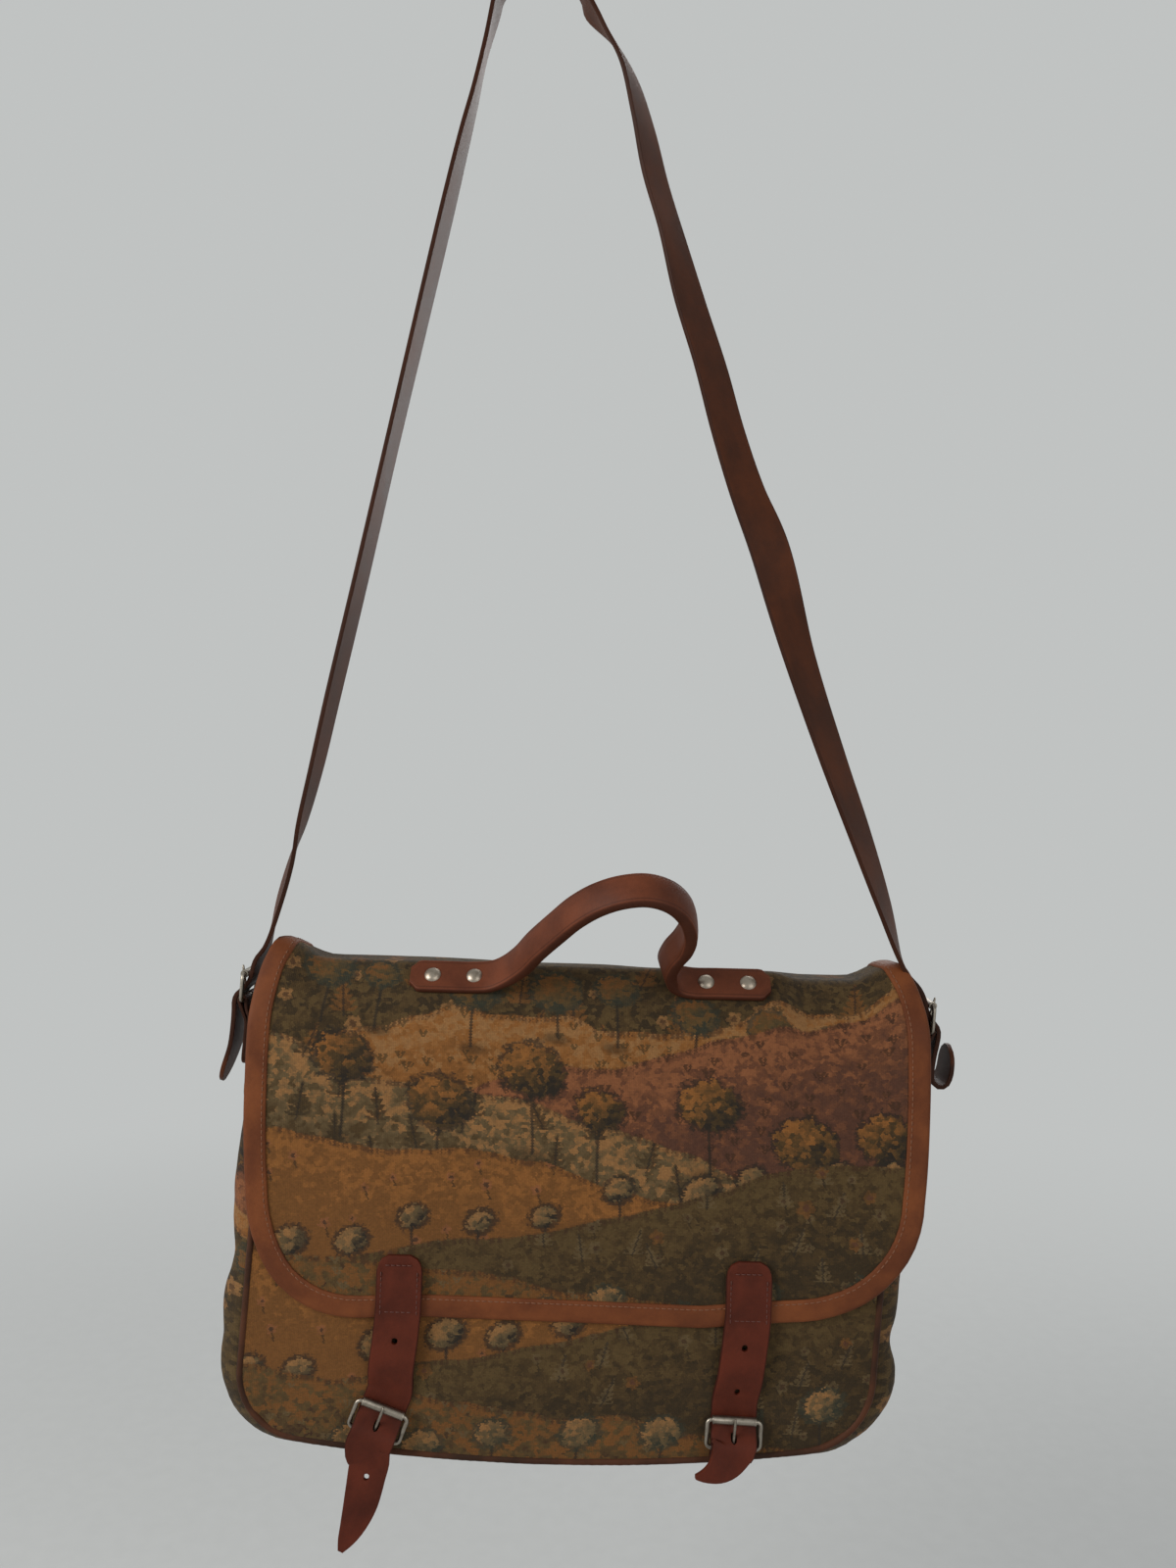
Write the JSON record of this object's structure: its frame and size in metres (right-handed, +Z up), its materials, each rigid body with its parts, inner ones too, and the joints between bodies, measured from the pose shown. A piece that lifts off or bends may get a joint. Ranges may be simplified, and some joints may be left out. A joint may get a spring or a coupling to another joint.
{
  "type": "flap satchel",
  "caption": "Flap satchel of woven tapestry cloth with leather binding, roller-buckled front straps, a top handle and a long shoulder strap.",
  "frame": {"origin": "inner top of the shoulder strap's loop, where the strap rests on a peg", "axes": "+Z up along the hanging strap, front of the bag towards -Y, +X to the bag's right as seen from the front"},
  "size_m": [0.4213, 0.1215, 0.8958],
  "materials": {
    "tapestry_cloth": "jacquard woven tapestry, ochre, olive and dusty rose on a dark ground",
    "lining_cloth": "plain woven cotton",
    "tan_leather": "smooth orange-brown, satin, stitched",
    "red_brown_leather": "smooth dark red-brown, satin, worn edges",
    "dark_brown_leather": "smooth dark brown, satin",
    "handle_leather": "smooth brown, padded and stitched",
    "buckle_metal": "dull nickel plate",
    "rivet_metal": "dull nickel plate"
  },
  "bodies": {
    "bag": {"back_panel": "tapestry_cloth", "back_piping": "tan_leather", "chape_front_left": "red_brown_leather", "chape_front_right": "red_brown_leather", "chape_side_left": "dark_brown_leather", "chape_side_right": "dark_brown_leather", "flap": "tapestry_cloth", "flap_binding": "tan_leather", "front_panel": "tapestry_cloth", "front_piping": "tan_leather", "front_strap_left": "red_brown_leather", "front_strap_right": "red_brown_leather", "gusset": "tapestry_cloth", "handle": "handle_leather", "handle_rivets": "rivet_metal", "lining": "lining_cloth", "shoulder_strap": "dark_brown_leather", "side_rivets": "rivet_metal"},
    "buckle_front_left": {"buckle_frame_front_left": "buckle_metal"},
    "roller_front_left": {"buckle_roller_front_left": "buckle_metal"},
    "prong_front_left": {"buckle_prong_front_left": "buckle_metal"},
    "buckle_front_right": {"buckle_frame_front_right": "buckle_metal"},
    "roller_front_right": {"buckle_roller_front_right": "buckle_metal"},
    "prong_front_right": {"buckle_prong_front_right": "buckle_metal"},
    "buckle_side_left": {"buckle_frame_side_left": "buckle_metal"},
    "roller_side_left": {"buckle_roller_side_left": "buckle_metal"},
    "prong_side_left": {"buckle_prong_side_left": "buckle_metal"},
    "buckle_side_right": {"buckle_frame_side_right": "buckle_metal"},
    "roller_side_right": {"buckle_roller_side_right": "buckle_metal"},
    "prong_side_right": {"buckle_prong_side_right": "buckle_metal"}
  },
  "joints": [
    {"name": "frame_hinge_front_left", "type": "hinge", "parent": "bag", "child": "buckle_front_left", "pos_m": [-0.09125, -0.0355, -0.83015], "axis": [0.9304, 0, -0.3665], "range_deg": [0, 10]},
    {"name": "roller_spin_front_left", "type": "hinge", "parent": "buckle_front_left", "child": "roller_front_left", "pos_m": [-0.08576, -0.0355, -0.8162], "axis": [0.9304, 0, -0.3665], "continuous": true},
    {"name": "prong_hinge_front_left", "type": "hinge", "parent": "buckle_front_left", "child": "prong_front_left", "pos_m": [-0.09125, -0.0355, -0.83015], "axis": [0.9304, 0, -0.3665], "range_deg": [0, 10]},
    {"name": "frame_hinge_front_right", "type": "hinge", "parent": "bag", "child": "buckle_front_right", "pos_m": [0.10592, -0.0355, -0.83772], "axis": [0.9981, 0, -0.061], "range_deg": [0, 10]},
    {"name": "roller_spin_front_right", "type": "hinge", "parent": "buckle_front_right", "child": "roller_front_right", "pos_m": [0.10683, -0.0355, -0.82275], "axis": [0.9981, 0, -0.061], "continuous": true},
    {"name": "prong_hinge_front_right", "type": "hinge", "parent": "buckle_front_right", "child": "prong_front_right", "pos_m": [0.10592, -0.0355, -0.83772], "axis": [0.9981, 0, -0.061], "range_deg": [0, 10]},
    {"name": "frame_hinge_side_left", "type": "hinge", "parent": "bag", "child": "buckle_side_left", "pos_m": [-0.16983, 0, -0.59662], "axis": [0, -1, 0], "range_deg": [0, 10]},
    {"name": "roller_spin_side_left", "type": "hinge", "parent": "buckle_side_left", "child": "roller_side_left", "pos_m": [-0.16855, 0, -0.58167], "axis": [0, -1, 0], "continuous": true},
    {"name": "prong_hinge_side_left", "type": "hinge", "parent": "buckle_side_left", "child": "prong_side_left", "pos_m": [-0.16983, 0, -0.59662], "axis": [0, -1, 0], "range_deg": [0, 10]},
    {"name": "frame_hinge_side_right", "type": "hinge", "parent": "bag", "child": "buckle_side_right", "pos_m": [0.22135, 0, -0.61486], "axis": [0, 1, 0], "range_deg": [0, 10]},
    {"name": "roller_spin_side_right", "type": "hinge", "parent": "buckle_side_right", "child": "roller_side_right", "pos_m": [0.22263, 0, -0.59992], "axis": [0, 1, 0], "continuous": true},
    {"name": "prong_hinge_side_right", "type": "hinge", "parent": "buckle_side_right", "child": "prong_side_right", "pos_m": [0.22135, 0, -0.61486], "axis": [0, 1, 0], "range_deg": [0, 10]}
  ]
}
